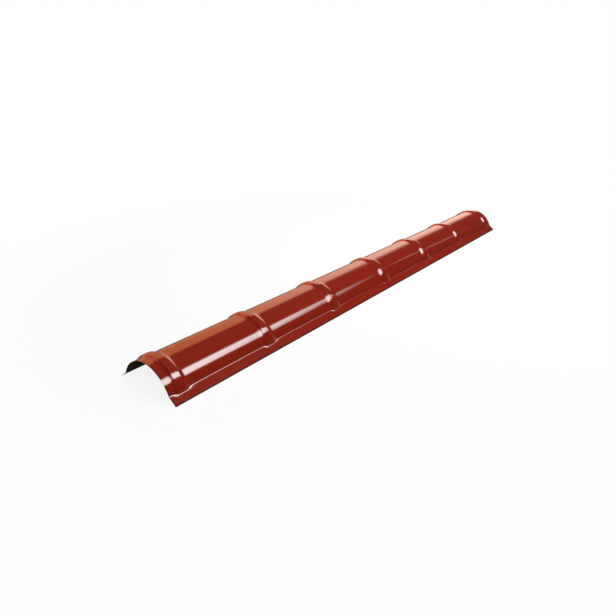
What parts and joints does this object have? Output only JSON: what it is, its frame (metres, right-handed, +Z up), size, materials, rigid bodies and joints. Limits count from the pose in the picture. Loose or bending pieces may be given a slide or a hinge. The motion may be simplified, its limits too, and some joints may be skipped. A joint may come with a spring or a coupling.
{
  "type": "roof ridge cap",
  "caption": "Half-round ridge cap of red coated steel sheet with raised cross ribs and sloping side flanges, laid along the ridge of a roof to cover the joint of its two slopes.",
  "frame": {"origin": "midway along the cap and between its flange edges, level with the two long edges that it rests on", "axes": "+X along the ridge, +Y across it, +Z up towards the crown of the arch"},
  "size_m": [2, 0.2254, 0.0866],
  "materials": {
    "coated_sheet": "glossy oxide red coat on the upper face, dark backing coat below, bare cut edges"
  },
  "bodies": {
    "root": {"ridge_cap": "coated_sheet"}
  },
  "joints": []
}
